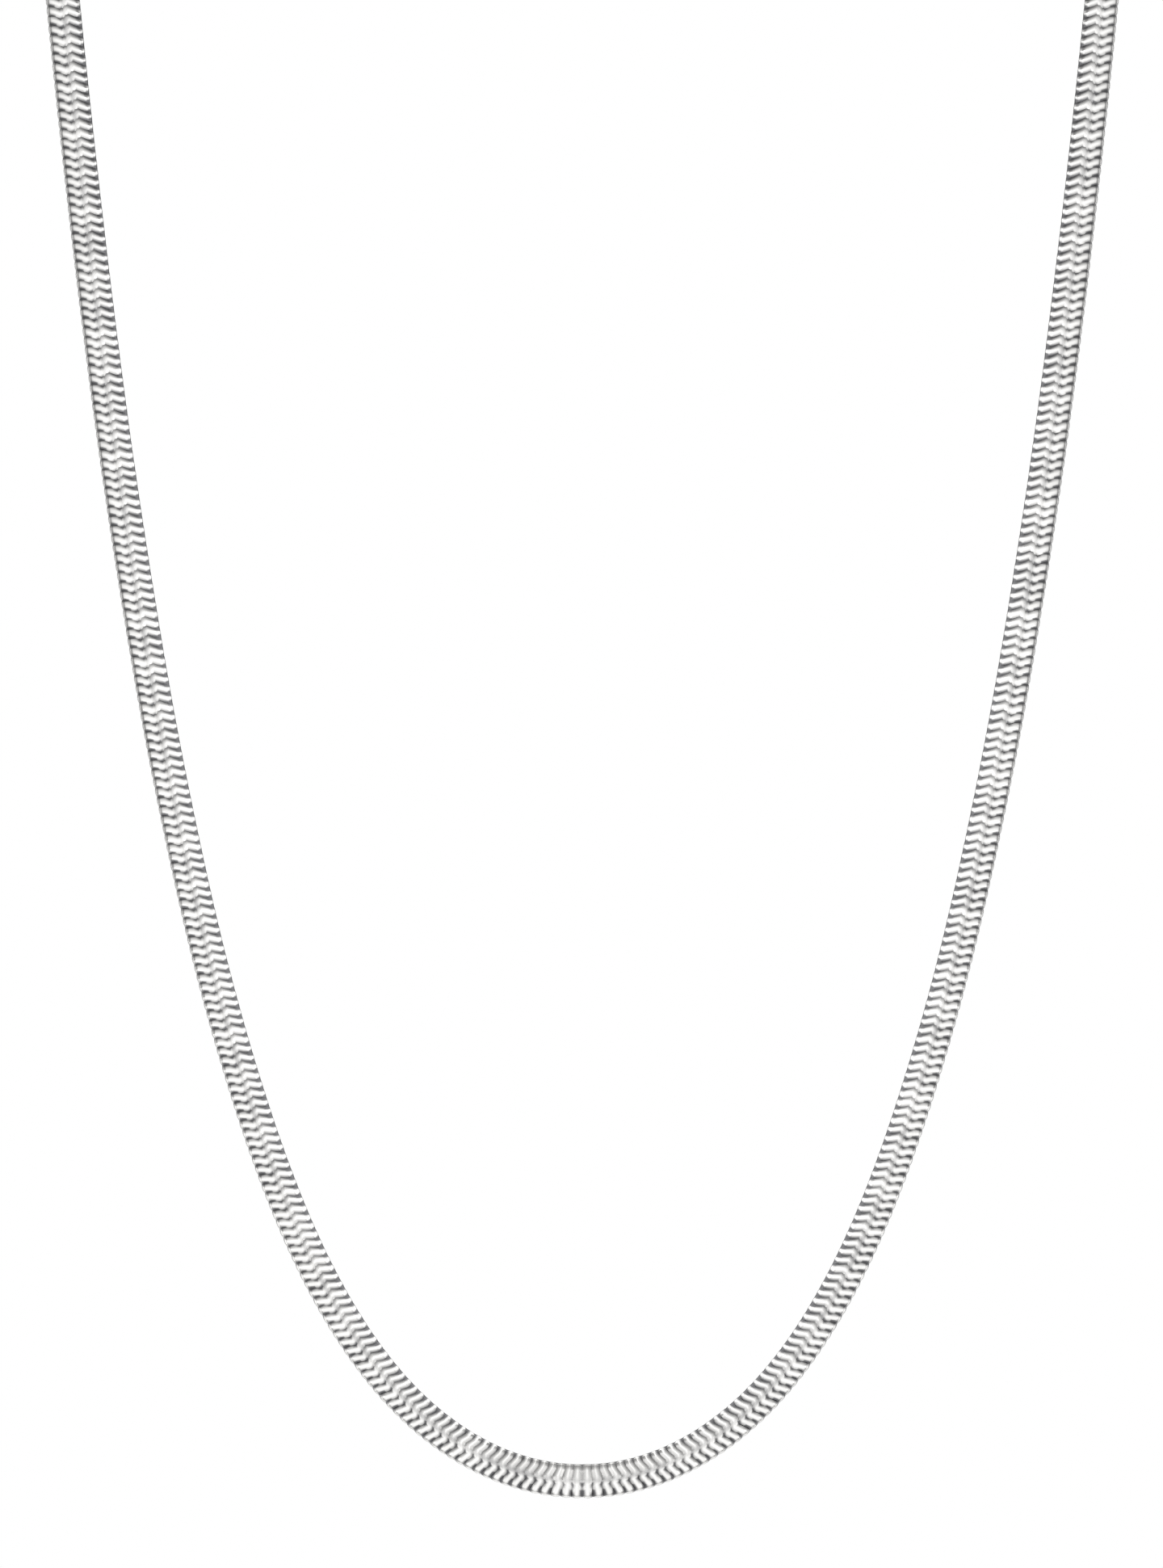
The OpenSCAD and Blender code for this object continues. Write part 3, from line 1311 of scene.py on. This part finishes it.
@dataclass(frozen=True)
class Studio:
    """A white studio round the chain, with a pale floor, soft light from all sides and the camera.

    The camera and the floor see an even white. Only the silver's reflections see that the flanks are
    darker, that a bright band lies close behind the chain, and that four lit cards stand beside it.

    Args:
        route: The route, which gives the place of the bottom of the front.
        frame_height: What the picture's height spans at the chain's front.
        frame_middle: How far the picture's middle lies above the bottom of the front.
        frame_across: How far it lies to the right of it.
        distance: From the camera to the chain's front.
        sensor: The longer side of the camera's sensor.
        near: The nearest that the camera sees.
        far: The farthest that it sees.
        cards: The lit cards.
        shade_up: How much a direction's height counts towards the shade, beside its way across.
        shade_sunk: How far below level the lightest direction lies, on the same scale.
        shade: The world's level, from the lightest direction to the flanks.
        backdrop: How much of the shade is kept, from the chain's own plane to straight behind it.
        paper: The floor's finish.
        floor_drop: How far the floor lies below the bottom of the front.
        floor_size: Width of the floor.
    """

    route: Route = field(default_factory=Route)
    frame_height: float = 183.1
    frame_middle: float = 81.39
    frame_across: float = -0.09
    distance: float = 2000.0
    sensor: float = 36.0
    near: float = 100.0
    far: float = 20000.0
    cards: tuple[Card, ...] = (
        Card(-1, -0.5, -150.0, 40.0, 15.0, 172.0, 0.8),
        Card(1, 0.5, -150.0, 40.0, 15.0, 172.0, 0.8),
        Card(1, -110.0, -170.0, 40.0, -60.0, 30.0, 0.6),
        Card(-1, 110.0, -170.0, 40.0, -60.0, 30.0, 0.6),
    )
    shade_up: float = 0.7
    shade_sunk: float = 0.12
    shade: tuple[Stop, ...] = (
        Stop(0.0, 1.2),
        Stop(0.3, 1.15),
        Stop(0.5, 0.85),
        Stop(0.73, 0.42),
        Stop(0.86, 0.22),
        Stop(1.0, 0.5),
    )
    backdrop: tuple[Stop, ...] = (
        Stop(0.0, 1.0),
        Stop(0.12, 0.3),
        Stop(0.22, 0.1),
        Stop(0.32, 0.5),
        Stop(0.42, 1.0),
    )
    paper: Paper = field(default_factory=Paper)
    floor_drop: float = 120.0
    floor_size: float = 3000.0

    def build(self) -> None:
        """Makes the camera, the world, the lights and the floor."""
        self._camera()
        self._world()
        self._cards()
        self._floor()
        bpy.context.scene.view_settings.view_transform = "Standard"

    def _camera(self) -> None:
        """Places the camera straight before the chain, at the photo's framing."""
        data = bpy.data.cameras.new("camera")
        data.sensor_width = self.sensor
        data.lens = self.sensor * self.distance / self.frame_height
        data.clip_start = self.near * MM
        data.clip_end = self.far * MM
        camera = bpy.data.objects.new("camera", data)
        back, up = -self.route.nape_back - self.distance, self.frame_middle - self.route.nape_up
        camera.location = Vector((self.frame_across, back, up)) * MM
        camera.rotation_euler = (math.pi / 2, 0, 0)
        bpy.context.scene.collection.objects.link(camera)
        bpy.context.scene.camera = camera

    def _world(self) -> None:
        """Makes a world that looks white, and that the silver sees as a lit studio with dark flanks."""
        world = bpy.data.worlds.new("studio")
        bpy.context.scene.world = world
        world.use_nodes = True
        # The world isn't sampled as a light, because that would leave out which kind of ray sees it.
        world.cycles.sampling_method = "NONE"
        tree = world.node_tree
        tree.nodes.clear()
        seen = add_node(tree, "ShaderNodeLightPath")
        direction = add_node(tree, "ShaderNodeTexCoord")
        turned = add_node(
            tree,
            "ShaderNodeVectorMath",
            {
                0: direction.outputs["Generated"],
                1: (1.0, 0.0, self.shade_up),
                2: (0.0, 0.0, self.shade_sunk),
            },
            operation="MULTIPLY_ADD",
        )
        off_axis = add_node(tree, "ShaderNodeVectorMath", {0: turned}, operation="LENGTH")
        apart = add_node(tree, "ShaderNodeSeparateXYZ", {"Vector": direction.outputs["Generated"]})
        kept = self._ramp(tree, apart.outputs["Y"], self.backdrop)
        shaded = add_node(tree, "ShaderNodeMath", {0: off_axis, 1: kept}, operation="MULTIPLY")
        level = self._ramp(tree, shaded, self.shade)
        plain = add_node(
            tree,
            "ShaderNodeMix",
            {"Factor": seen.outputs["Is Glossy Ray"], "A": 1.0, "B": level},
            data_type="FLOAT",
        )
        light = add_node(tree, "ShaderNodeBackground", {"Color": (1, 1, 1, 1), "Strength": plain})
        add_node(tree, "ShaderNodeOutputWorld", {"Surface": light})

    @staticmethod
    def _ramp(
        tree: bpy.types.NodeTree, value: bpy.types.Node | bpy.types.NodeSocket, stops: tuple[Stop, ...]
    ) -> bpy.types.Node:
        """Adds a soft ramp of grey levels.

        Args:
            tree: The node tree that takes it.
            value: What the ramp reads, from 0 to 1.
            stops: Its stops, the first at 0.

        Returns:
            The ramp.
        """
        ramp = add_node(tree, "ShaderNodeValToRGB", {"Fac": value})
        ramp.color_ramp.interpolation = "EASE"
        elements = ramp.color_ramp.elements
        for stop in stops[1:-1]:
            elements.new(stop.place)
        for element, stop in zip(elements, stops):
            element.position = stop.place
            element.color = (stop.level, stop.level, stop.level, 1.0)
        return ramp

    def _cards(self) -> None:
        """Hangs the lit cards, which only the silver sees."""
        for card in self.cards:
            light = bpy.data.lights.new("card", "AREA")
            light.shape = "RECTANGLE"
            light.size, light.size_y = (card.top - card.foot) * MM, (card.back - card.front) * MM
            light.energy = card.level * math.pi * light.size * light.size_y
            light.diffuse_factor = 0.0
            lit = bpy.data.objects.new("card", light)
            middle = Vector((card.across, (card.front + card.back) / 2, (card.foot + card.top) / 2))
            lit.location = (middle - Vector((0, self.route.nape_back, self.route.nape_up))) * MM
            lit.rotation_euler = (0, -card.facing * math.pi / 2, 0)
            lit.visible_camera = False
            bpy.context.scene.collection.objects.link(lit)

    def _floor(self) -> None:
        """Makes the floor, below what the camera sees from the front."""
        shape = bmesh.new()
        bmesh.ops.create_grid(shape, x_segments=1, y_segments=1, size=self.floor_size / 2 * MM)
        shape.transform(Matrix.Translation((0, 0, -(self.route.nape_up + self.floor_drop) * MM)))
        floor = mesh_object("floor", shape, smooth=False)
        floor.data.materials.append(self.paper.build())
        floor.visible_glossy = False


def main() -> None:
    """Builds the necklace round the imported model."""
    logging.basicConfig(level=logging.INFO, format="%(name)s: %(message)s")
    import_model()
    Studio().build()
    SnakeChain(finish=Silver("polished_silver_links")).build()
    # Pressed and then burnished, so the fittings are glossier, with fine lines drawn out along X.
    fittings = Silver(
        "burnished_silver_fittings",
        gloss=0.2,
        hairline=0.05,
        hairline_strength=0.12,
        hairline_stretch=14.0,
        patch=2.5,
    )
    Closure(finish=fittings).build()


if __name__ == "__main__":
    main()
